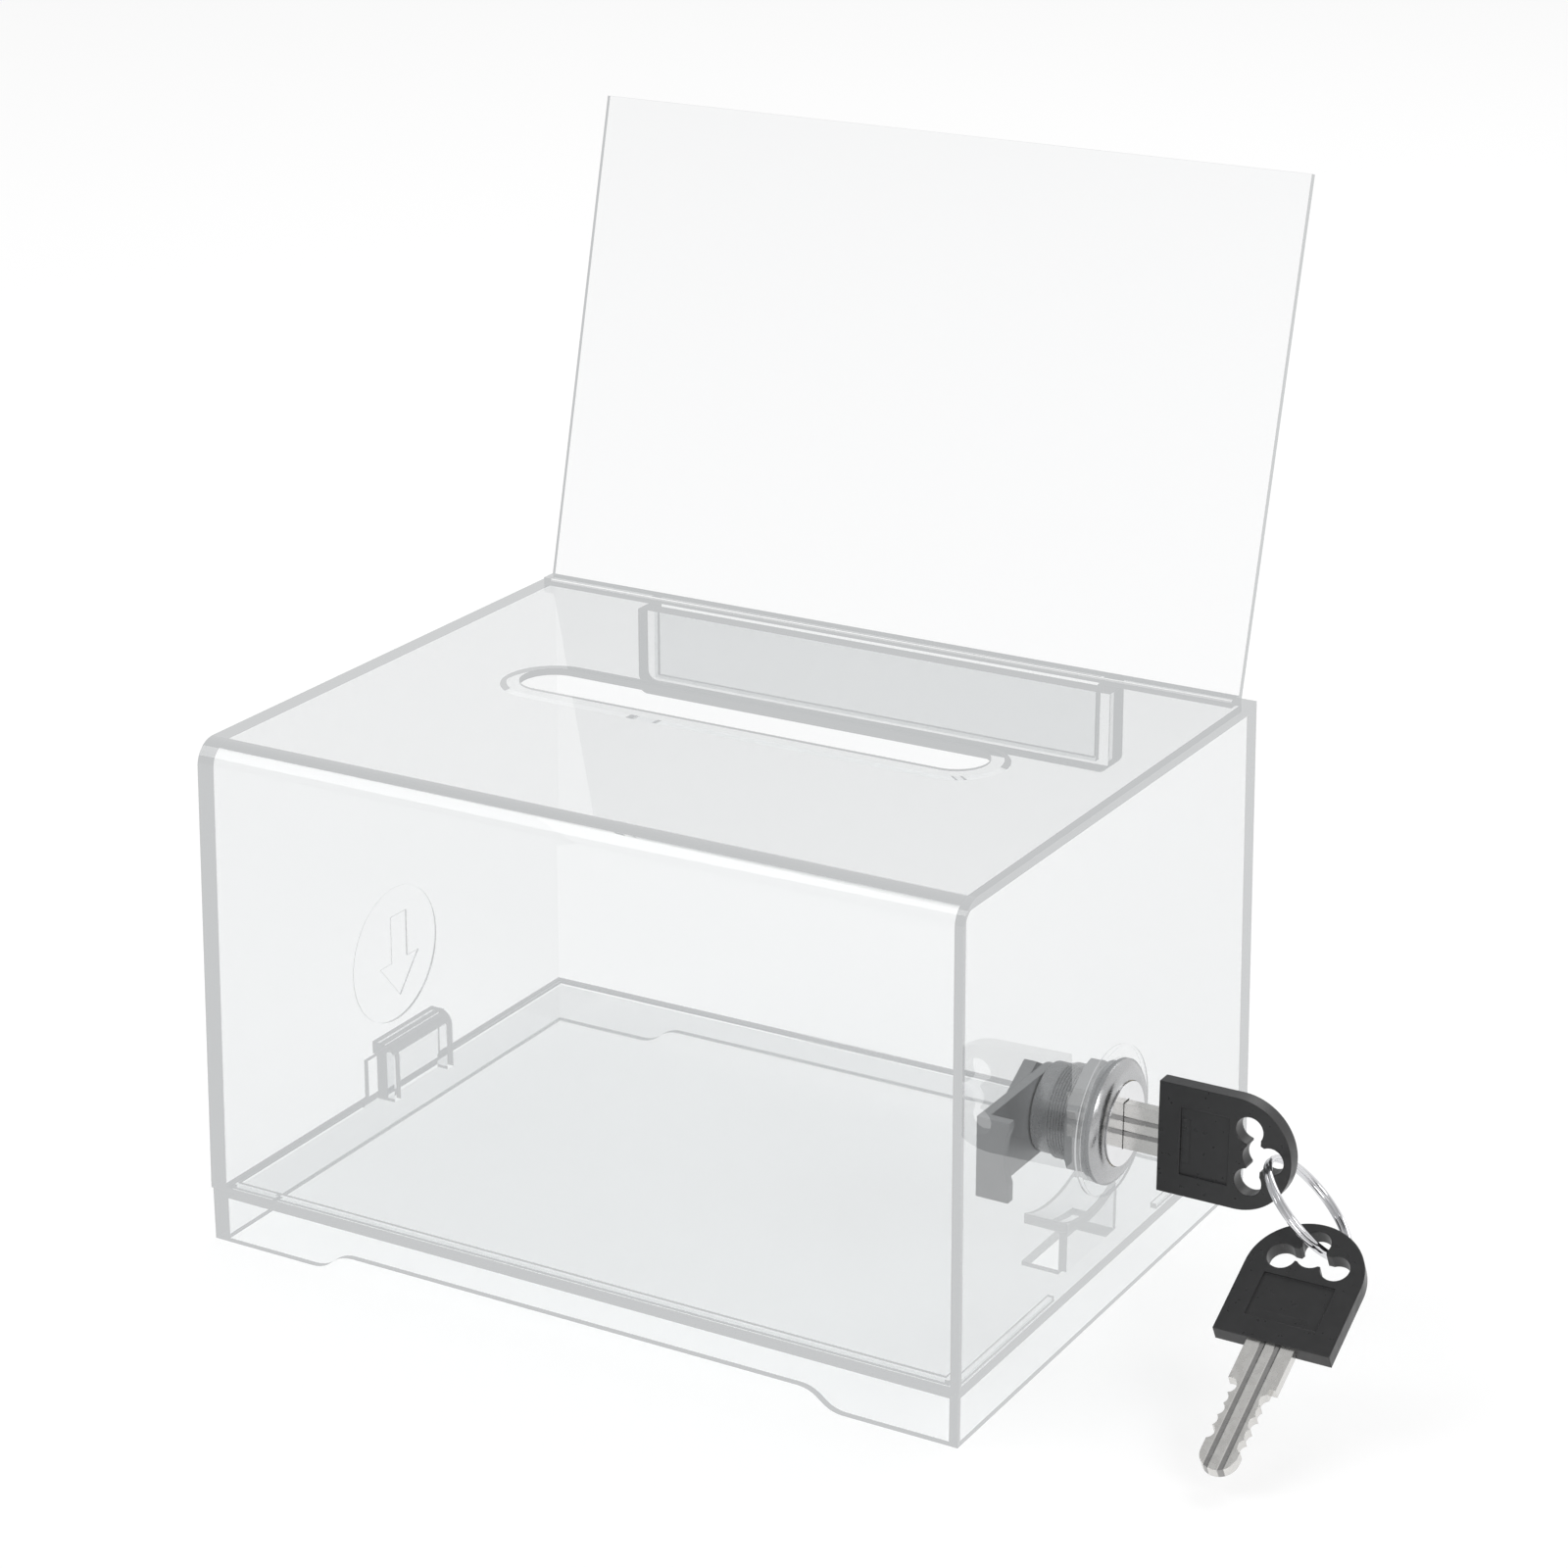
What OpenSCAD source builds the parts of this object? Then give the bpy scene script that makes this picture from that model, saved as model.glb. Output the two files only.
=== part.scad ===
// Clear tabletop ballot box with a tilting cover, a leaning sign and a cam lock.
// Millimetres. The origin is the centre of the base on the table, X right, Y back, Z up.

/* [Box] */
// Length of the box, left to right
box_w = 157; // [150:1:170]
// Depth of the box, front to back
box_d = 118; // [114:1:126]
// Height of the top face above the table
box_h = 98.2; // [95:0.2:110]
// Wall thickness of the cover
wall = 2.5; // [2.3:0.1:2.7]
// Thickness of the cover's top plate
top_t = 2.4; // [2.2:0.1:2.8]
// How far each wall leans in between its foot and the top
draft = 1.2; // [0.8:0.1:1.6]
// Radius of the front top edge
edge_r = 4.7; // [3.5:0.1:6]

/* [Ballot slot] */
// Length of the slot
slot_len = 97.5; // [80:0.5:110]
// Width of the slot
slot_w = 12.5; // [8:0.5:16]
// Distance of the slot's middle right of the box middle
slot_x = 1; // [-3:0.5:3]
// Distance of the slot's middle behind the box middle
slot_y = 3.4; // [0:0.2:8]
// Plate thickness left at the rim of the slot
rim_t = 1.3; // [1:0.1:1.6]

/* [Sign] */
// Width of the sign sheet
sign_w = 150; // [140:1:152]
// Length of the leaning sheet
sign_len = 96.8; // [60:0.2:120]
// Thickness of the sign sheet
sign_t = 1.5; // [1.2:0.1:1.7]
// Lean of the sign, degrees behind upright
sign_lean = 14.1; // [8:0.1:20]
// Width of the tongue that stands in the pocket
tongue_w = 95.8; // [80:0.2:100]
// Depth of the pocket below the top face
pocket_deep = 16.5; // [10:0.5:20]

/* [Base] */
// Height of the base
base_h = 10.4; // [10:0.1:12]
// Thickness of the floor
floor_t = 2.2; // [1.8:0.1:2.6]
// Height of the arch between the feet
arch_h = 3.5; // [2:0.1:4.5]
// Half length of the straight part of the arch
arch_half = 47; // [40:1:52]

/* [Lock] */
// Height of the lock's axis above the table
lock_z = 36.9; // [36.7:0.1:38]
// Radius of the threaded barrel
barrel_r = 8.45; // [8.2:0.05:8.6]
// Radius of the plug that turns in the barrel
plug_r = 6.5; // [6.3:0.05:6.6]
// Reach of the cam from the lock's axis
cam_reach = 25; // [23.5:0.1:25.4]
// Width of the cam
cam_w = 15.3; // [12:0.1:15.6]

/* [Keys] */
// Width of a key head
head_w = 21.2; // [19:0.2:23]
// Length of a key head
head_len = 25.3; // [24:0.1:27]
// Thickness of a key head
head_t = 3; // [2.4:0.1:3.4]
// Radius of the key ring's middle line
ring_r = 10.4; // [9.8:0.1:11]

/* [Hidden] */
$fa = 4;
$fs = 0.3;
eps = 0.5;
seat_gap = 0.1;
seat_z = base_h + seat_gap;
slope = draft / (box_h - seat_z);
lean_in = atan(slope);
plate_z = box_h - top_t;
edge_lap = 0.001;
inner_x = box_w / 2 - wall;
inner_y = box_d / 2 - wall;
pad_r = 13.85;
pad_x = box_w / 2 - 0.65;
pad_in_x = pad_x - 2.5;
arrow_deep = 0.3;
arrow_y = 1.2;
arrow_shaft = 2.6;
arrow_wing = 6.4;
arrow_tail = 8.1;
arrow_neck = -1.6;
arrow_tip = -9.1;
ledge_out = 1;
ledge_half = 12.5;
ledge_h = 8.7;
lip_gap = 0.6;
relief_off = 2.4;
relief_flare = 1.2;
relief_deep = top_t - rim_t;
pocket_w = tongue_w + 1;
pocket_t = sign_t + 0.7;
pocket_y = 51.2;
pocket_wall = 1.8;
pocket_end = 3.1;
pocket_floor = 1.5;
pocket_round = 2;
tongue_y = pocket_y + 0.35;
tongue_gap = 0.5;
sign_gap = 0.05;
sign_foot_y = tongue_y + 2.85;
base_inset = 0.25;
skirt_t = 2.4;
foot_run = 9;
foot_turn = 2 * atan(arch_h / foot_run);
foot_r = foot_run / (2 * sin(foot_turn));
rib_gap = 0.4;
rib_w = 1.2;
rib_h = 1;
rib_left_open = 15;
rib_right_open = 21;
hook_half = 10;
hook_cheek = 2;
hook_gap = 0.3;
hook_x = -inner_x + ledge_out + hook_gap;
hook_deep = 4;
hook_lip = 0.9;
hook_lip_z = seat_z + ledge_h + lip_gap;
hook_lip_h = 2.5;
hook_top = hook_lip_z + hook_lip_h;
hook_round = 3;
saddle_half = 10;
saddle_x = pad_x - 13.85;
saddle_web_x = saddle_x + 7;
saddle_web_t = 1.6;
saddle_top = 20;
saddle_dip = 1.9;
saddle_t = 1.9;
saddle_r = (saddle_half * saddle_half + saddle_dip * saddle_dip) / (2 * saddle_dip);
saddle_c = saddle_top - saddle_dip + saddle_r;
hole_gap = 0.15;
flat_half = 8;
bezel_r = 11.5;
bezel_face_r = 8.75;
bezel_t = 2.15;
bezel_dome_r = 3.4;
sleeve_r = 8.3;
sleeve_x = pad_x - 11.25;
barrel_end = pad_x - 13.95;
plug_fit = 0.05;
plug_head_r = 7.8;
plug_head_t = 0.95;
cup_deep = 1.1;
cap_t = 0.4;
washer_t = 1.2;
washer_r = 10.6;
washer_fit = 0.1;
nut_t = 2.8;
nut_r = 11.55;
nut_face_r = 10.6;
nut_turn = 3.7;
cam_t = 1.8;
cam_gap = 0.2;
cam_x = barrel_end - cam_gap - cam_t;
cam_tab = 6.3;
cam_hollow_r = 14;
cam_hollow = 1;
tail_w = 9;
tail_r = 5.6;
tail_fit = 0.05;
cam_washer_t = 1;
cam_washer_r = 7;
cam_nut_t = 2.5;
cam_nut_r = 8;
tail_end = cam_x - cam_washer_t - cam_nut_t - 0.3;
slot_fit = 0.2;
blade_t = 2;
blade_half = 4.35;
blade_wide = 8.6;
blade_len = 26.1;
bit_half = 3.3;
blade_tang = 6;
tang_fit = 0.02;
wafer_count = 5;
wafer_step = 2.3;
wafer_first = barrel_end + 2.5;
wafer_t = 0.9;
wafer_w = 8;
wafer_fit = 0.1;
wafer_r = 6.35;
wafer_window = 3.6;
key_x = pad_x + 9.45;
lobe_u = 17.3;
lobe_v = 4.9;
lobe_r = 2.6;
eye_u = 21.4;
eye_r = 2.5;
recess_deep = 0.4;
field_u = 4.2;
field_len = 9.2;
field_w = 13;
ring_wire = 0.5;
ring_at = [key_x + 29.01, -1.88, lock_z - 6.84];
ring_tilt = 46.05;
ring_spin = 18.79;
key2_at = [key_x + 34.6, -29, lock_z - 19.8];
key2_rise = 28.7;

function half_x(z, inset) = box_w / 2 - inset - slope * (z - seat_z);
function half_y(z, inset) = box_d / 2 - inset - slope * (z - seat_z);

/* [Shared forms] */
module along_x(x0, x1) {
    translate([x0, 0, 0]) rotate([90, 0, 90]) linear_extrude(x1 - x0) children();
}

module along_y(y0, y1) {
    translate([0, y1, 0]) rotate([90, 0, 0]) linear_extrude(y1 - y0) children();
}

module on_lock() {
    translate([0, 0, lock_z]) rotate([0, 90, 0]) children();
}

module tube(x0, x1, r_out, r_in) {
    on_lock() translate([0, 0, x0]) difference() {
        cylinder(h = x1 - x0, r = r_out);
        translate([0, 0, -eps]) cylinder(h = x1 - x0 + 2 * eps, r = r_in);
    }
}

module block(x0, x1, y0, y1, z0, z1) {
    translate([x0, y0, z0]) cube([x1 - x0, y1 - y0, z1 - z0]);
}

/* [Cover] */
module side_form(inset, z0, z1, r) {
    yc = -half_y(z1 - r, inset) + r / cos(lean_in);
    zc = z1 - r;
    polygon([[-half_y(z0, inset), z0], [half_y(z0, inset), z0], [half_y(z1, inset), z1], [yc, z1], [yc, zc],
        [yc - r * cos(lean_in), zc + r * sin(lean_in)]]);
    translate([yc, zc]) circle(r + edge_lap);
}

module front_form(inset, z0, z1) {
    polygon([[-half_x(z0, inset), z0], [half_x(z0, inset), z0], [half_x(z1, inset), z1],
        [-half_x(z1, inset), z1]]);
}

module shell_form(inset, z0, z1, r) {
    intersection() {
        along_y(-box_d, box_d) front_form(inset, z0, z1);
        along_x(-box_w, box_w) side_form(inset, z0, z1, r);
    }
}

module slot_cut() {
    run = slot_len - slot_w;
    r = slot_w / 2;
    r_top = r + relief_off;
    r_low = r_top + relief_flare * (relief_deep + 0.1) / relief_deep;
    z_low = plate_z - 0.1;
    z_top = plate_z + relief_deep;
    translate([slot_x, slot_y, 0]) {
        translate([-run / 2, -r, z_low]) cube([run, slot_w, top_t + 1]);
        for (s = [-1, 1]) {
            translate([s * run / 2, 0, z_low]) cylinder(h = top_t + 1, r = r);
            translate([s * run / 2, 0, z_low]) cylinder(h = z_top - z_low, r1 = r_low, r2 = r_top);
        }
        along_x(-run / 2, run / 2) polygon([[-r_low, z_low], [r_low, z_low], [r_top, z_top], [-r_top, z_top]]);
    }
}

module pocket_body() {
    half = pocket_w / 2 + pocket_end;
    low = box_h - pocket_deep - pocket_floor;
    top = plate_z + eps;
    along_y(pocket_y - pocket_wall, inner_y - 0.6) {
        translate([-half, low + pocket_round]) square([2 * half, top - low - pocket_round]);
        translate([-half + pocket_round, low]) square([2 * (half - pocket_round), top - low]);
        for (s = [-1, 1]) translate([s * (half - pocket_round), low + pocket_round]) circle(pocket_round);
    }
}

module arrow_form() {
    translate([arrow_y, lock_z]) polygon([[-arrow_shaft, arrow_tail], [arrow_shaft, arrow_tail],
        [arrow_shaft, arrow_neck], [arrow_wing, arrow_neck], [0, arrow_tip], [-arrow_wing, arrow_neck],
        [-arrow_shaft, arrow_neck]]);
}

module cover_shell() {
    color([0.93, 0.95, 0.96, 0.3]) difference() {
        union() {
            difference() {
                shell_form(0, seat_z, box_h, edge_r);
                shell_form(wall, seat_z - 1, plate_z, edge_r - wall);
            }
            block(-inner_x - eps, -inner_x + ledge_out, -ledge_half, ledge_half, seat_z, seat_z + ledge_h);
            pocket_body();
            tube(pad_in_x, pad_in_x + 1.1, pad_r, barrel_r - 1);
        }
        slot_cut();
        block(-pocket_w / 2, pocket_w / 2, pocket_y, pocket_y + pocket_t, box_h - pocket_deep, box_h + 1);
        on_lock() translate([0, 0, pad_x]) cylinder(h = 3, r = pad_r);
        on_lock() translate([0, 0, -pad_x - 3]) cylinder(h = 3, r = pad_r);
        along_x(-pad_x - 1, -pad_x + arrow_deep) arrow_form();
        on_lock() translate([0, 0, pad_in_x - 1]) intersection() {
            cylinder(h = pad_x - pad_in_x + 2, r = barrel_r + hole_gap);
            translate([-flat_half - hole_gap, -barrel_r - 1, 0])
                cube([2 * (flat_half + hole_gap), 2 * (barrel_r + 1), pad_x - pad_in_x + 2]);
        }
    }
}

/* [Base tray] */
module arch_side() {
    translate([0, -1]) square([arch_half, arch_h + 1]);
    intersection() {
        translate([arch_half, arch_h - foot_r]) circle(foot_r);
        translate([arch_half - eps, -1]) square([foot_run / 2 + eps, arch_h + 1]);
    }
    difference() {
        translate([arch_half + foot_run / 2, -1]) square([foot_run / 2, arch_h / 2 + 1]);
        translate([arch_half + foot_run, foot_r]) circle(foot_r);
    }
}

module rib() {
    x = inner_x - rib_gap;
    y = inner_y - rib_gap;
    difference() {
        block(-x, x, -y, y, base_h - eps, base_h + rib_h);
        block(-x + rib_w, x - rib_w, -y + rib_w, y - rib_w, base_h - 2 * eps, base_h + rib_h + 1);
        block(-x - 1, -x + 3, -rib_left_open, rib_left_open, base_h - 2 * eps, base_h + rib_h + 1);
        block(x - 3, x + 1, -rib_right_open, rib_right_open, base_h - 2 * eps, base_h + rib_h + 1);
    }
}

module hook() {
    low = base_h - eps;
    difference() {
        along_y(-hook_half, hook_half) {
            translate([hook_x, low]) square([hook_deep, hook_top - hook_round - low]);
            translate([hook_x, low]) square([hook_deep - hook_round, hook_top - low]);
            intersection() {
                translate([hook_x + hook_deep - hook_round, hook_top - hook_round]) circle(hook_round);
                translate([hook_x, hook_top - hook_round - 1]) square([hook_deep + 1, hook_round + 2]);
            }
            translate([hook_x - hook_lip, hook_lip_z]) square([hook_deep - 1, hook_lip_h]);
        }
        block(hook_x + 1.6, hook_x + hook_deep + 1, -hook_half + hook_cheek, hook_half - hook_cheek,
            base_h, hook_top - 2);
        block(hook_x - 2 * hook_deep, hook_x, -hook_half - 1, hook_half + 1, low - 1, hook_lip_z);
    }
}

module saddle() {
    along_x(saddle_x, saddle_web_x + saddle_web_t) intersection() {
        difference() {
            translate([0, saddle_c]) circle(saddle_r + saddle_t);
            translate([0, saddle_c]) circle(saddle_r);
        }
        translate([-saddle_half, base_h]) square([2 * saddle_half, saddle_top + 1 - base_h]);
    }
    along_x(saddle_web_x, saddle_web_x + saddle_web_t) difference() {
        translate([-saddle_half, base_h - eps]) square([2 * saddle_half, saddle_top - base_h]);
        translate([0, saddle_c]) circle(saddle_r + saddle_t / 2);
    }
}

module base_tray() {
    x = box_w / 2 - base_inset;
    y = box_d / 2 - base_inset;
    color([0.95, 0.96, 0.97, 0.35]) difference() {
        union() {
            difference() {
                block(-x, x, -y, y, 0, base_h);
                block(-x + skirt_t, x - skirt_t, -y + skirt_t, y - skirt_t, -1, base_h - floor_t);
            }
            rib();
            hook();
            saddle();
        }
        along_y(-box_d, box_d) {
            arch_side();
            mirror([1, 0]) arch_side();
        }
        block(saddle_x - 0.3, saddle_web_x, -saddle_half, saddle_half, base_h - floor_t - 1, base_h + 1);
    }
}

/* [Sign sheet] */
module sign_panel() {
    z = box_h + sign_gap;
    s = sin(sign_lean);
    c = cos(sign_lean);
    back = sign_t / c;
    color([0.93, 0.95, 0.97, 0.3]) {
        along_x(-sign_w / 2, sign_w / 2) polygon([[tongue_y, z], [sign_foot_y + back, z],
            [sign_foot_y + back + (sign_len - sign_t * s / c) * s, z + (sign_len - sign_t * s / c) * c],
            [sign_foot_y + sign_len * s, z + sign_len * c],
            [sign_foot_y + sign_t * s / c, z + sign_t], [tongue_y, z + sign_t]]);
        block(-tongue_w / 2, tongue_w / 2, tongue_y, tongue_y + sign_t,
            box_h - pocket_deep + tongue_gap, z + sign_t / 2);
    }
}

/* [Lock body] */
module lock_barrel() {
    face = pad_x + bezel_t;
    color([0.62, 0.63, 0.65]) on_lock() difference() {
        union() {
            translate([0, 0, barrel_end]) cylinder(h = sleeve_x - barrel_end, r = sleeve_r);
            translate([0, 0, sleeve_x]) cylinder(h = pad_in_x - sleeve_x, r = barrel_r);
            intersection() {
                translate([0, 0, pad_in_x]) cylinder(h = pad_x - pad_in_x, r = barrel_r);
                translate([-flat_half, -barrel_r - 1, pad_in_x])
                    cube([2 * flat_half, 2 * (barrel_r + 1), pad_x - pad_in_x]);
            }
            rotate_extrude() {
                translate([0, pad_x]) square([bezel_face_r, bezel_t]);
                intersection() {
                    translate([bezel_face_r, face - bezel_dome_r]) circle(bezel_dome_r);
                    translate([bezel_face_r - eps, pad_x]) square([bezel_r - bezel_face_r + eps, bezel_t]);
                }
            }
        }
        translate([0, 0, barrel_end - 1]) cylinder(h = face - barrel_end + 2, r = plug_r + plug_fit);
        translate([0, 0, face - cup_deep]) cylinder(h = 3, r = plug_head_r + plug_fit);
    }
}

module lock_washer() {
    color([0.7, 0.71, 0.73]) tube(pad_in_x - washer_t, pad_in_x, washer_r, barrel_r + washer_fit);
}

module lock_nut() {
    x1 = pad_in_x - washer_t;
    x0 = x1 - nut_t;
    color([0.66, 0.67, 0.69]) on_lock() difference() {
        intersection() {
            translate([0, 0, x0]) rotate([0, 0, nut_turn]) cylinder(h = nut_t, r = nut_r, $fn = 6);
            rotate_extrude() polygon([[0, x0], [nut_face_r, x0], [nut_r + 0.1, x0 + 0.6],
                [nut_r + 0.1, x1 - 0.6], [nut_face_r, x1], [0, x1]]);
        }
        translate([0, 0, x0 - 1]) cylinder(h = nut_t + 2, r = barrel_r + plug_fit);
    }
}

/* [Plug and cam] */
module lock_plug() {
    face = pad_x + bezel_t;
    head_x = face - cup_deep + plug_fit;
    color([0.72, 0.68, 0.55]) difference() {
        union() {
            tube(barrel_end, head_x + 0.01, plug_r, 0.2);
            tube(head_x, head_x + plug_head_t, plug_head_r, 0.2);
            on_lock() intersection() {
                translate([0, 0, tail_end]) cylinder(h = barrel_end - tail_end + 0.01, r = tail_r);
                translate([-tail_w / 2, -tail_w / 2, tail_end]) cube([tail_w, tail_w, 8]);
            }
        }
        block(tail_end + 1.2, face + 2, -blade_t / 2 - slot_fit, blade_t / 2 + slot_fit,
            lock_z - bit_half - slot_fit, lock_z + bit_half + slot_fit);
        block(key_x - blade_wide - slot_fit, face + 2, -blade_t / 2 - slot_fit, blade_t / 2 + slot_fit,
            lock_z - blade_half - slot_fit, lock_z + blade_half + slot_fit);
        for (i = [0 : wafer_count - 1]) block(wafer_first + i * wafer_step - wafer_fit,
            wafer_first + i * wafer_step + wafer_t + wafer_fit, -wafer_w / 2 - wafer_fit,
            wafer_w / 2 + wafer_fit, lock_z - 9, lock_z + 9);
    }
}

module plug_cap() {
    x0 = pad_x + bezel_t - cup_deep + plug_fit + plug_head_t;
    color([0.9, 0.9, 0.91]) difference() {
        tube(x0, x0 + cap_t, plug_head_r - plug_fit, 0.2);
        block(x0 - 1, x0 + 2, -blade_t / 2 - slot_fit, blade_t / 2 + slot_fit,
            lock_z - blade_half - slot_fit, lock_z + blade_half + slot_fit);
    }
}

module wafers() {
    color([0.8, 0.66, 0.36]) for (i = [0 : wafer_count - 1]) translate([wafer_first + i * wafer_step, 0, 0])
        difference() {
            intersection() {
                block(0, wafer_t, -wafer_w / 2, wafer_w / 2, lock_z - 8, lock_z + 8);
                on_lock() translate([0, 0, -1]) cylinder(h = 3, r = wafer_r);
            }
            block(-1, 2, -blade_t / 2 - slot_fit, blade_t / 2 + slot_fit, lock_z - wafer_window,
                lock_z + wafer_window);
        }
}

module cam() {
    half = cam_w / 2;
    color([0.6, 0.61, 0.63]) difference() {
        union() {
            block(cam_x, cam_x + cam_t, -cam_reach, 0, lock_z - half, lock_z + half);
            on_lock() translate([0, 0, cam_x]) cylinder(h = cam_t, r = half);
            block(cam_x, cam_x + cam_tab, -cam_reach, -cam_reach + cam_t, lock_z - half, lock_z + half);
        }
        along_y(-cam_reach - 1, -cam_reach + cam_t + 0.01)
            translate([cam_x + cam_tab + cam_hollow_r - cam_hollow, lock_z + 1]) circle(cam_hollow_r);
        block(cam_x - 1, cam_x + 4, -tail_w / 2 - tail_fit, tail_w / 2 + tail_fit,
            lock_z - tail_w / 2 - tail_fit, lock_z + tail_w / 2 + tail_fit);
    }
}

module cam_washer() {
    color([0.7, 0.71, 0.73]) tube(cam_x - cam_washer_t, cam_x, cam_washer_r, tail_r + tail_fit);
}

module cam_nut() {
    x1 = cam_x - cam_washer_t;
    color([0.66, 0.67, 0.69]) on_lock() translate([0, 0, x1 - cam_nut_t]) difference() {
        cylinder(h = cam_nut_t, r = cam_nut_r, $fn = 6);
        translate([0, 0, -1]) cylinder(h = cam_nut_t + 2, r = tail_r + tail_fit);
    }
}

/* [Keys and ring] */
module key_blade() {
    color([0.78, 0.77, 0.74]) translate([0, 0, -blade_t / 2]) linear_extrude(blade_t) difference() {
        union() {
            translate([-blade_wide, -blade_half]) square([blade_wide + blade_tang, 2 * blade_half]);
            translate([-blade_len + bit_half, -bit_half]) square([blade_len - bit_half - blade_wide + 1, 2 * bit_half]);
            translate([-blade_len + bit_half, 0]) circle(bit_half);
        }
        translate([-blade_wide - 1.1, bit_half + 0.5]) circle(1.5);
        for (p = [[-12.3, 0.55], [-14.5, 0.8], [-16.8, 0.5], [-19.2, 0.95]])
            translate([p[0], bit_half + 1.4 - p[1]]) circle(1.4);
        for (p = [[-11, 0.9], [-13.2, 0.6], [-15.6, 0.95], [-18, 0.65], [-20.3, 0.9]])
            translate([p[0], -bit_half - 1.4 + p[1]]) circle(1.4);
    }
}

module key_head() {
    half = head_w / 2;
    color([0.06, 0.06, 0.065]) difference() {
        translate([0, 0, -head_t / 2]) linear_extrude(head_t) difference() {
            union() {
                translate([0, -half]) square([head_len - half, head_w]);
                translate([head_len - half, 0]) circle(half);
            }
            for (s = [-1, 1]) translate([lobe_u, s * lobe_v]) circle(lobe_r);
            translate([lobe_u - 0.4, -lobe_v]) square([2.6, 2 * lobe_v]);
            translate([eye_u, 0]) circle(eye_r);
            translate([lobe_u + 1.4, 0]) circle(lobe_r);
        }
        for (s = [-1, 1]) translate([field_u, -field_w / 2, s * head_t / 2 - recess_deep])
            cube([field_len, field_w, 2 * recess_deep]);
        translate([-1, -blade_half - tang_fit, -blade_t / 2 - tang_fit])
            cube([blade_tang + 1 + tang_fit, 2 * (blade_half + tang_fit), blade_t + 2 * tang_fit]);
    }
}

module key_1_place() {
    translate([key_x, 0, lock_z]) rotate([90, 0, 0]) children();
}

module key_2_place() {
    translate(key2_at) rotate([key2_rise, 0, 0]) rotate([0, 0, 90]) children();
}

module key_1_blade() {
    key_1_place() key_blade();
}

module key_1_head() {
    key_1_place() key_head();
}

module key_2_blade() {
    key_2_place() key_blade();
}

module key_2_head() {
    key_2_place() key_head();
}

module split_ring() {
    color([0.75, 0.76, 0.78]) translate(ring_at) rotate([0, ring_tilt, ring_spin])
        rotate_extrude() translate([ring_r, 0]) {
            translate([0, ring_wire * 0.8]) circle(ring_wire);
            translate([0, -ring_wire * 0.8]) circle(ring_wire);
        }
}

base_tray();
cover_shell();
sign_panel();
lock_barrel();
lock_washer();
lock_nut();
lock_plug();
plug_cap();
wafers();
cam();
cam_washer();
cam_nut();
key_1_blade();
key_1_head();
split_ring();
key_2_blade();
key_2_head();
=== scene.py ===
import math

import bmesh
import bpy
from mathutils import Matrix, Vector


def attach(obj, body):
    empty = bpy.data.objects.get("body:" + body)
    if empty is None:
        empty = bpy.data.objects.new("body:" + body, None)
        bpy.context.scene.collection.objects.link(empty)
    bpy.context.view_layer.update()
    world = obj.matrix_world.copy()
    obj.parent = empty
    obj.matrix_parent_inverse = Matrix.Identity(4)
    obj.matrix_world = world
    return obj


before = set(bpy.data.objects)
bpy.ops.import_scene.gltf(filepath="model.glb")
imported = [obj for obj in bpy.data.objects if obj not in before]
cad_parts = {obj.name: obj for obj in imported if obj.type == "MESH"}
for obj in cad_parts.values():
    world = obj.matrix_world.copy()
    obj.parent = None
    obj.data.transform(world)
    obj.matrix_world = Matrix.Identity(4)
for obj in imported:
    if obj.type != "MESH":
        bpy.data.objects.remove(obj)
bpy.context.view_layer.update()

# Table top and white surround
# A plain pale table top runs out of sight behind the box, and keeps the soft shadow of the box.
# It shows as white to the eye, in the polished metal and through the clear walls.
half = 6.0
mesh = bmesh.new()
bmesh.ops.create_grid(mesh, x_segments=1, y_segments=1, size=half)
bmesh.ops.translate(mesh, verts=mesh.verts, vec=(0, 0, -0.0002))
table_mesh = bpy.data.meshes.new("table_top")
mesh.to_mesh(table_mesh)
mesh.free()
table_top = bpy.data.objects.new("table_top", table_mesh)
bpy.context.collection.objects.link(table_top)

paper = bpy.data.materials.new("white_paper")
paper.use_nodes = True
tree = paper.node_tree
tree.nodes.clear()
lit = tree.nodes.new("ShaderNodeBsdfDiffuse")
lit.inputs["Color"].default_value = (0.9, 0.9, 0.9, 1)
plain = tree.nodes.new("ShaderNodeEmission")
plain.inputs["Color"].default_value = (1, 1, 1, 1)
plain.inputs["Strength"].default_value = 1.08
path = tree.nodes.new("ShaderNodeLightPath")
shiny = tree.nodes.new("ShaderNodeMath")
shiny.operation = "MAXIMUM"
seen = tree.nodes.new("ShaderNodeMath")
seen.operation = "MAXIMUM"
part = tree.nodes.new("ShaderNodeMath")
part.operation = "MULTIPLY"
part.inputs[1].default_value = 0.62
blend = tree.nodes.new("ShaderNodeMixShader")
out = tree.nodes.new("ShaderNodeOutputMaterial")
tree.links.new(path.outputs["Is Glossy Ray"], shiny.inputs[0])
tree.links.new(path.outputs["Is Transmission Ray"], shiny.inputs[1])
tree.links.new(path.outputs["Is Camera Ray"], seen.inputs[0])
tree.links.new(shiny.outputs[0], seen.inputs[1])
tree.links.new(seen.outputs[0], part.inputs[0])
tree.links.new(part.outputs[0], blend.inputs["Fac"])
tree.links.new(lit.outputs[0], blend.inputs[1])
tree.links.new(plain.outputs[0], blend.inputs[2])
tree.links.new(blend.outputs[0], out.inputs["Surface"])
table_mesh.materials.append(paper)

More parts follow.
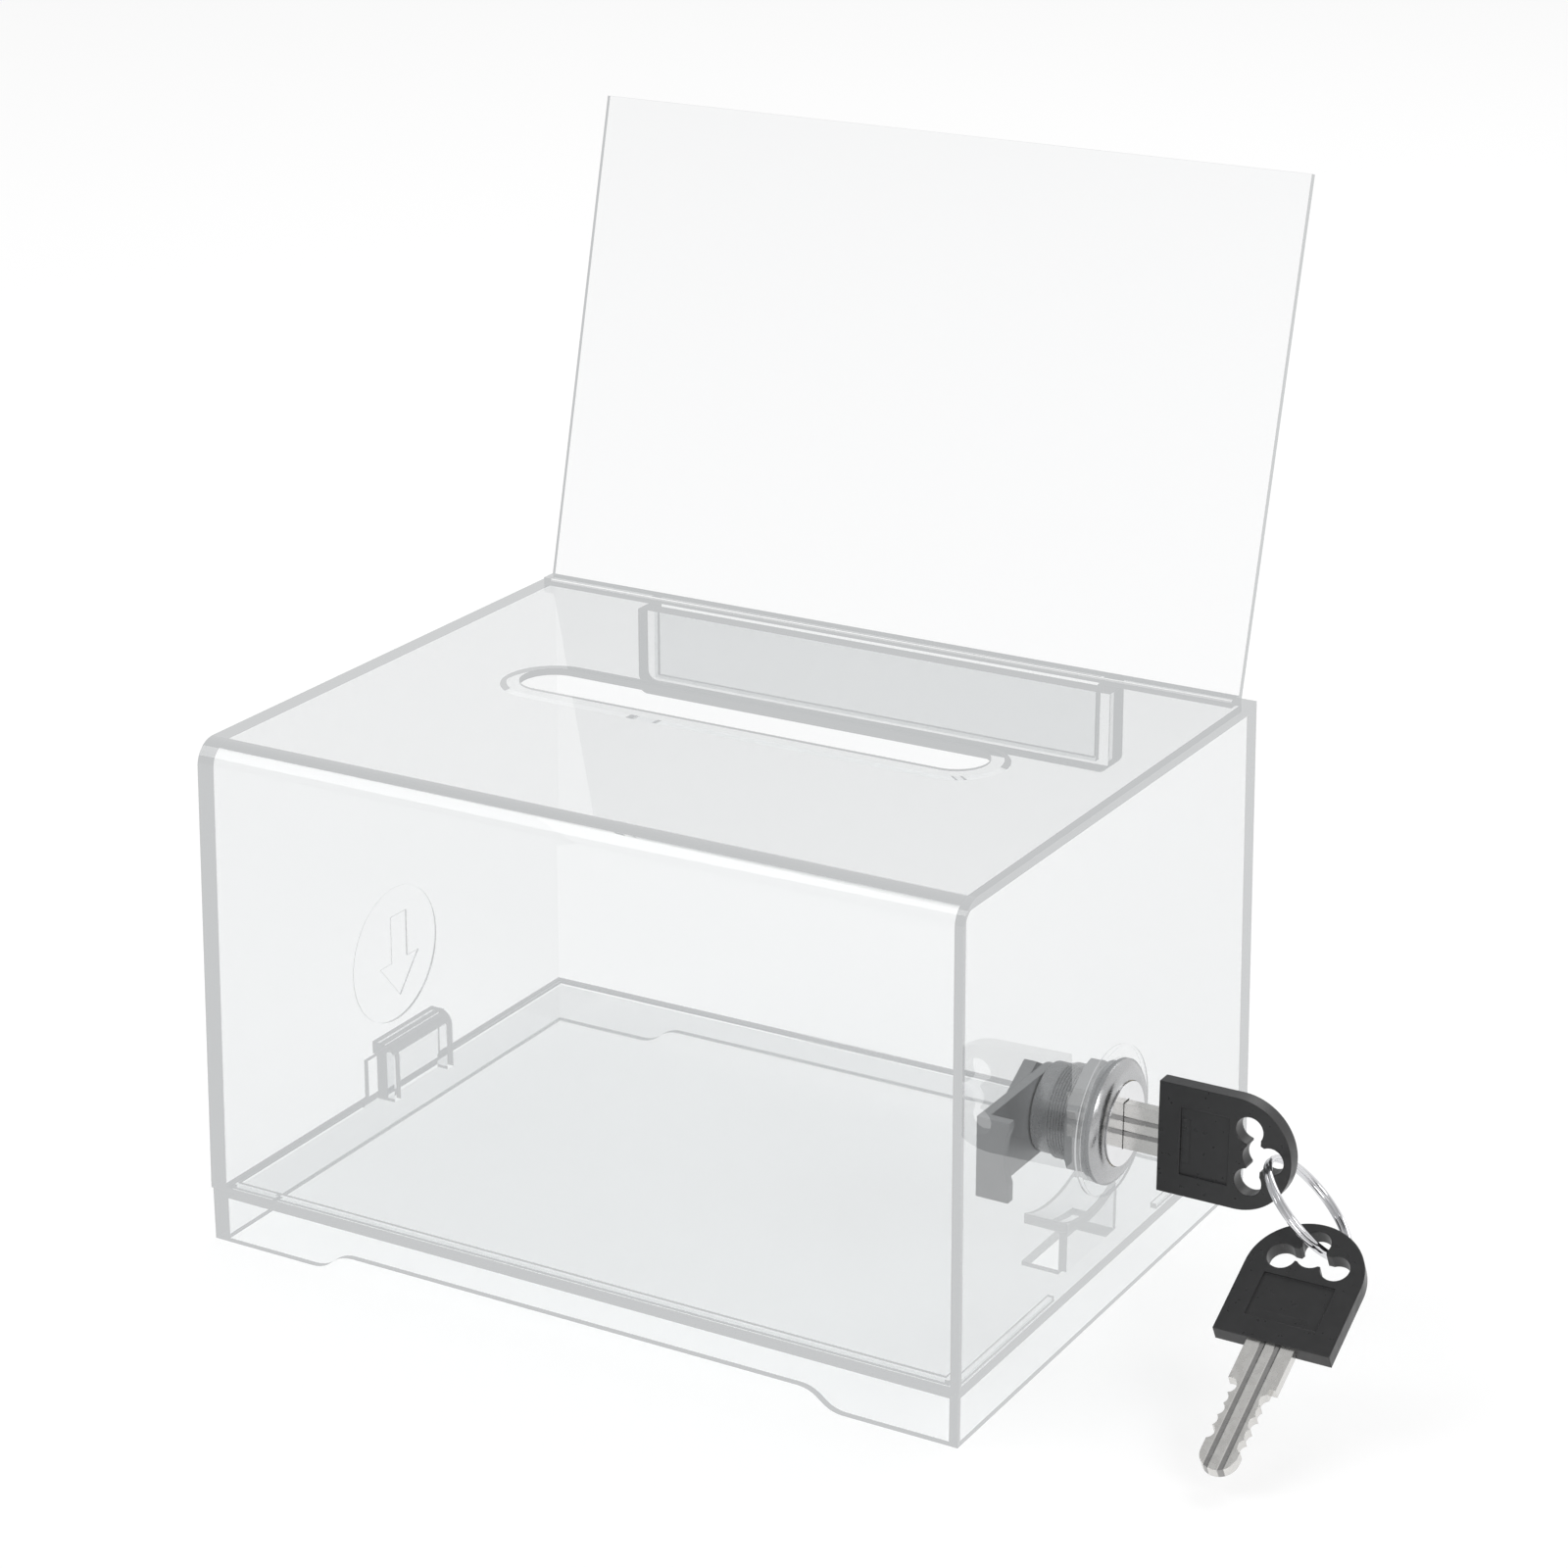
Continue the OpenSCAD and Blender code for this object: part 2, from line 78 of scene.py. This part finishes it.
room = bpy.data.worlds.new("room")
bpy.context.scene.world = room
room.use_nodes = True
tree = room.node_tree
sky = tree.nodes["Background"]
sky.inputs["Color"].default_value = (1, 1, 1, 1)
way = tree.nodes.new("ShaderNodeTexCoord")
parts = tree.nodes.new("ShaderNodeSeparateXYZ")
rear = tree.nodes.new("ShaderNodeMapRange")
rear.inputs["From Min"].default_value = -0.3
rear.inputs["From Max"].default_value = 0.45
rear.inputs["To Min"].default_value = 0.62
rear.inputs["To Max"].default_value = 0.95
above = tree.nodes.new("ShaderNodeMapRange")
above.inputs["From Min"].default_value = 0.45
above.inputs["From Max"].default_value = 0.95
above.inputs["To Min"].default_value = 1.0
above.inputs["To Max"].default_value = 0.72
level = tree.nodes.new("ShaderNodeMath")
level.operation = "MULTIPLY"
path = tree.nodes.new("ShaderNodeLightPath")
shown = tree.nodes.new("ShaderNodeMath")
shown.operation = "MAXIMUM"
tree.links.new(way.outputs["Generated"], parts.inputs["Vector"])
tree.links.new(parts.outputs["Y"], rear.inputs["Value"])
tree.links.new(parts.outputs["Z"], above.inputs["Value"])
tree.links.new(rear.outputs["Result"], level.inputs[0])
tree.links.new(above.outputs["Result"], level.inputs[1])
tree.links.new(level.outputs[0], shown.inputs[0])
tree.links.new(path.outputs["Is Camera Ray"], shown.inputs[1])
tree.links.new(shown.outputs[0], sky.inputs["Strength"])

# Lamps and camera
# Two large soft lamps stand in front, left and right, and a third hangs over the rear.
# The camera stands in front and to the right, a little above, and looks down at the box.
for name, spot, size, watts in (("lamp_left", (-0.9, -0.8, 1.1), 0.9, 7), ("lamp_right", (1.1, -0.5, 0.8), 0.5, 4),
                                ("lamp_rear", (0.2, 0.9, 1.2), 0.8, 5)):
    glow = bpy.data.lights.new(name, "AREA")
    glow.size = size
    glow.energy = watts
    lamp = bpy.data.objects.new(name, glow)
    lamp.location = spot
    lamp.rotation_mode = "QUATERNION"
    lamp.rotation_quaternion = (Vector((0, 0, 0.05)) - Vector(spot)).to_track_quat("-Z", "Y")
    bpy.context.collection.objects.link(lamp)

bearing = math.radians(30.09)
dip = math.radians(20.35)
look = Vector((-math.sin(bearing) * math.cos(dip), math.cos(bearing) * math.cos(dip), -math.sin(dip)))
camera = bpy.data.objects.new("camera", bpy.data.cameras.new("camera"))
bpy.context.collection.objects.link(camera)
camera.data.sensor_width = 36
camera.data.lens = 92.55
camera.data.clip_start = 0.01
camera.location = (0.35294, -0.59119, 0.34148)
camera.rotation_mode = "QUATERNION"
camera.rotation_quaternion = look.to_track_quat("-Z", "Y")
bpy.context.scene.camera = camera
bpy.context.scene.view_settings.view_transform = "Standard"

# Clear cover, base and sign sheet
# The cover and the base are moulded in clear acrylic, and the sign is bent from polished acrylic sheet.
# They keep the frame's solids. Faint waves and hairline wear break up their gloss, and a painted grey glow, shown
# wherever a ray has already been reflected, keeps their edges and inner reflections grey.


def finish_of(name):
    finish = bpy.data.materials.new(name)
    finish.use_nodes = True
    return finish, finish.node_tree, finish.node_tree.nodes["Principled BSDF"]


def place_on(tree, location=(0, 0, 0), turn=(0, 0, 0), scale=(1, 1, 1)):
    where = tree.nodes.new("ShaderNodeTexCoord")
    moved = tree.nodes.new("ShaderNodeMapping")
    moved.vector_type = "TEXTURE"
    moved.inputs["Location"].default_value = location
    moved.inputs["Rotation"].default_value = turn
    moved.inputs["Scale"].default_value = scale
    tree.links.new(where.outputs["Object"], moved.inputs["Vector"])
    return moved.outputs["Vector"]


def cloud(tree, where, scale, detail=3.0):
    noise = tree.nodes.new("ShaderNodeTexNoise")
    noise.inputs["Scale"].default_value = scale
    noise.inputs["Detail"].default_value = detail
    tree.links.new(where, noise.inputs["Vector"])
    return noise.outputs["Fac"]


def between(tree, value, low, high, start=0.3, end=0.7):
    step = tree.nodes.new("ShaderNodeMapRange")
    step.inputs["From Min"].default_value = start
    step.inputs["From Max"].default_value = end
    step.inputs["To Min"].default_value = low
    step.inputs["To Max"].default_value = high
    tree.links.new(value, step.inputs["Value"])
    return step.outputs["Result"]


def relief(tree, height, distance, strength, normal=None):
    bump = tree.nodes.new("ShaderNodeBump")
    bump.inputs["Strength"].default_value = strength
    bump.inputs["Distance"].default_value = distance
    tree.links.new(height, bump.inputs["Height"])
    if normal is not None:
        tree.links.new(normal, bump.inputs["Normal"])
    return bump.outputs["Normal"]


def dress(material, *nodes):
    for node in nodes:
        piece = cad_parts[node]
        piece.data.materials.clear()
        piece.data.materials.append(material)


def clear_acrylic(name, tint, wave, haze):
    finish, tree, skin = finish_of(name)
    where = place_on(tree)
    skin.inputs["Base Color"].default_value = (*tint, 1)
    skin.inputs["Transmission Weight"].default_value = 1.0
    skin.inputs["IOR"].default_value = 1.49
    tree.links.new(between(tree, cloud(tree, where, 60, 5), 0.0, haze), skin.inputs["Roughness"])
    tree.links.new(relief(tree, cloud(tree, where, wave, 1), 0.0002, 0.12), skin.inputs["Normal"])
    # Painted light: a flat grey glow stands in for the acrylic in every ray that has already been reflected, so
    # edges and inner reflections show grey.
    glow = tree.nodes.new("ShaderNodeEmission")
    glow.inputs["Color"].default_value = (0.56, 0.57, 0.575, 1)
    deep = tree.nodes.new("ShaderNodeMath")
    deep.operation = "GREATER_THAN"
    deep.inputs[1].default_value = 0.5
    painted_grey_glow_mix = tree.nodes.new("ShaderNodeMixShader")
    veil = tree.nodes.new("ShaderNodeBsdfTransparent")
    veil.inputs["Color"].default_value = (0.9, 0.92, 0.92, 1)
    path = tree.nodes.new("ShaderNodeLightPath")
    mix = tree.nodes.new("ShaderNodeMixShader")
    tree.links.new(path.outputs["Is Shadow Ray"], mix.inputs["Fac"])
    tree.links.new(path.outputs["Glossy Depth"], deep.inputs[0])
    tree.links.new(deep.outputs[0], painted_grey_glow_mix.inputs["Fac"])
    tree.links.new(skin.outputs[0], painted_grey_glow_mix.inputs[1])
    tree.links.new(glow.outputs[0], painted_grey_glow_mix.inputs[2])
    tree.links.new(painted_grey_glow_mix.outputs[0], mix.inputs[1])
    tree.links.new(veil.outputs[0], mix.inputs[2])
    tree.links.new(mix.outputs[0], tree.nodes["Material Output"].inputs["Surface"])
    return finish


dress(clear_acrylic("clear_cover_finish", (0.955, 0.96, 0.962), 35, 0.03), "cover_shell")
dress(clear_acrylic("clear_base_finish", (0.95, 0.955, 0.958), 45, 0.05), "base_tray")
dress(clear_acrylic("clear_sheet_finish", (0.965, 0.968, 0.97), 20, 0.02), "sign_panel")

# Lock barrel and its thread
# The barrel is die-cast zinc alloy with a satin plated bezel, pushed through the right wall from outside.
# The frame has its plain root, and the thread winds round it here as one ridge of seven turns.
lock_z = 0.0369
thread_x = 0.06675
thread_root = 0.00835
thread_crest = 0.0088
thread_pitch = 0.00057
thread_turns = 7


def metal_finish(name, tone, smooth, rough, edge, centre=(0, 0, 0), rings=0.0, stretch=(1, 1, 1)):
    finish, tree, skin = finish_of(name)
    where = place_on(tree, location=centre, scale=stretch)
    skin.inputs["Metallic"].default_value = 1.0
    colour = tree.nodes.new("ShaderNodeMix")
    colour.data_type = "RGBA"
    colour.inputs["A"].default_value = (*[c * 0.86 for c in tone], 1)
    colour.inputs["B"].default_value = (*tone, 1)
    tree.links.new(cloud(tree, where, 260, 4), colour.inputs["Factor"])
    tree.links.new(colour.outputs["Result"], skin.inputs["Base Color"])
    tree.links.new(between(tree, cloud(tree, where, 900, 6), smooth, rough), skin.inputs["Roughness"])
    soft = tree.nodes.new("ShaderNodeBevel")
    soft.samples = 4
    soft.inputs["Radius"].default_value = edge
    normal = relief(tree, cloud(tree, where, 2500, 3), 0.00001, 0.25, soft.outputs["Normal"])
    if rings:
        turned = tree.nodes.new("ShaderNodeTexWave")
        turned.wave_type = "RINGS"
        turned.rings_direction = "X"
        turned.inputs["Scale"].default_value = rings
        turned.inputs["Distortion"].default_value = 1.5
        tree.links.new(where, turned.inputs["Vector"])
        normal = relief(tree, turned.outputs["Fac"], 0.00001, 0.2, normal)
    tree.links.new(normal, skin.inputs["Normal"])
    return finish


lock_axis = (0, 0, lock_z)
zinc = metal_finish("satin_zinc_finish", (0.5, 0.503, 0.51), 0.2, 0.34, 0.0002, lock_axis, 900)
dress(zinc, "lock_barrel")

mesh = bmesh.new()
profile = [mesh.verts.new((thread_x + along, 0, lock_z + out)) for along, out in
           ((0, thread_root), (thread_pitch / 2, thread_crest), (thread_pitch, thread_root))]
edges = [mesh.edges.new((profile[i], profile[(i + 1) % 3])) for i in range(3)]
mesh.faces.new(profile)
steps = thread_turns * 48
wound = bmesh.ops.spin(mesh, geom=profile + edges, cent=(0, 0, lock_z), axis=(1, 0, 0),
                       dvec=(thread_pitch / 48, 0, 0), angle=thread_turns * 2 * math.pi, steps=steps,
                       use_merge=False, use_duplicate=False)
mesh.faces.new([v for v in wound["geom_last"] if isinstance(v, bmesh.types.BMVert)])
bmesh.ops.remove_doubles(mesh, verts=mesh.verts, dist=1e-7)
bmesh.ops.recalc_face_normals(mesh, faces=mesh.faces)
thread_mesh = bpy.data.meshes.new("barrel_thread")
mesh.to_mesh(thread_mesh)
mesh.free()
thread_mesh.materials.append(zinc)
thread = bpy.data.objects.new("barrel_thread", thread_mesh)
bpy.context.collection.objects.link(thread)
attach(thread, "cover")

# Nut, washers and cam
# The nut and the washers are turned steel and the cam is stamped steel, all with a dull zinc plating.
# The nut clamps the barrel to the wall, and the cam sits on the plug's square tail.
dress(metal_finish("plated_nut_finish", (0.46, 0.463, 0.47), 0.28, 0.42, 0.00025, lock_axis, 700),
      "lock_nut", "lock_washer", "cam_washer", "cam_nut")
dress(metal_finish("plated_cam_finish", (0.46, 0.462, 0.468), 0.32, 0.46, 0.0003, stretch=(1, 0.2, 1)), "cam")

# Plug, face disc and wafers
# The plug and its five wafers are machined brass, and a thin polished steel disc is rolled over the plug's face.
# The key goes through a slot in both.
dress(metal_finish("plug_brass_finish", (0.72, 0.62, 0.42), 0.25, 0.4, 0.00015, lock_axis, 800),
      "lock_plug", "wafers")
dress(metal_finish("face_disc_finish", (0.82, 0.82, 0.83), 0.1, 0.2, 0.0001, lock_axis, 1200), "plug_cap")

# Key blades
# Each blade is nickel plated and stamped, with cuts in both edges and two milled grooves along each side, drawn as
# a bump with painted shade in them.
# The blade's end is held in the moulded head.
groove_middle = 1.35
groove_half = 0.55


def blade_finish(name, place, turn):
    finish, tree, skin = finish_of(name)
    where = place_on(tree, place, turn, (0.001, 0.001, 0.001))
    skin.inputs["Metallic"].default_value = 1.0
    axes = tree.nodes.new("ShaderNodeSeparateXYZ")
    tree.links.new(where, axes.inputs["Vector"])
    side = tree.nodes.new("ShaderNodeMath")
    side.operation = "ABSOLUTE"
    tree.links.new(axes.outputs["Y"], side.inputs[0])
    off = tree.nodes.new("ShaderNodeMath")
    off.operation = "SUBTRACT"
    off.inputs[1].default_value = groove_middle
    tree.links.new(side.outputs[0], off.inputs[0])
    span = tree.nodes.new("ShaderNodeMath")
    span.operation = "ABSOLUTE"
    tree.links.new(off.outputs[0], span.inputs[0])
    height = between(tree, span.outputs[0], 0.0, 1.0, groove_half - 0.2, groove_half)
    # Painted shade: the blade colour is darker inside the two grooves, where shade would fall in the recesses.
    colour = tree.nodes.new("ShaderNodeMix")
    colour.data_type = "RGBA"
    colour.inputs["A"].default_value = (0.36, 0.355, 0.35, 1)
    colour.inputs["B"].default_value = (0.72, 0.71, 0.69, 1)
    tree.links.new(height, colour.inputs["Factor"])
    tree.links.new(colour.outputs["Result"], skin.inputs["Base Color"])
    tree.links.new(between(tree, cloud(tree, where, 0.8, 6), 0.2, 0.36), skin.inputs["Roughness"])
    soft = tree.nodes.new("ShaderNodeBevel")
    soft.samples = 4
    soft.inputs["Radius"].default_value = 0.00015
    normal = relief(tree, height, 0.0003, 0.8, soft.outputs["Normal"])
    tree.links.new(relief(tree, cloud(tree, where, 3.0, 3), 0.00001, 0.2, normal), skin.inputs["Normal"])
    return finish


key_1_place = ((0.0873, 0, lock_z), (math.radians(90), 0, 0))
key_2_place = ((0.1219, -0.029, 0.0171), (0, math.radians(-28.7), math.radians(90)))
dress(blade_finish("key_1_blade_finish", *key_1_place), "key_1_blade")
dress(blade_finish("key_2_blade_finish", *key_2_place), "key_2_blade")

# Key heads
# The heads are moulded in black plastic over the blades, with a shallow field on both faces and a lobed hole.
# Their faces have a fine spark-eroded grain, and handling has polished the edges.
head_finish, tree, skin = finish_of("black_head_finish")
where = place_on(tree)
colour = tree.nodes.new("ShaderNodeMix")
colour.data_type = "RGBA"
colour.inputs["A"].default_value = (0.012, 0.012, 0.0125, 1)
colour.inputs["B"].default_value = (0.022, 0.022, 0.023, 1)
tree.links.new(cloud(tree, where, 300, 4), colour.inputs["Factor"])
tree.links.new(colour.outputs["Result"], skin.inputs["Base Color"])
tree.links.new(between(tree, cloud(tree, where, 700, 4), 0.26, 0.4), skin.inputs["Roughness"])
soft = tree.nodes.new("ShaderNodeBevel")
soft.samples = 6
soft.inputs["Radius"].default_value = 0.00035
tree.links.new(relief(tree, cloud(tree, where, 4000, 2), 0.00002, 0.25, soft.outputs["Normal"]),
               skin.inputs["Normal"])
dress(head_finish, "key_1_head", "key_2_head")

# Key ring
# The ring is polished spring steel wire wound twice round, and carries both keys.
# It keeps the frame's double loop, with a fine grain on the wire.
dress(metal_finish("ring_steel_finish", (0.78, 0.78, 0.8), 0.08, 0.18, 0.0001), "split_ring")
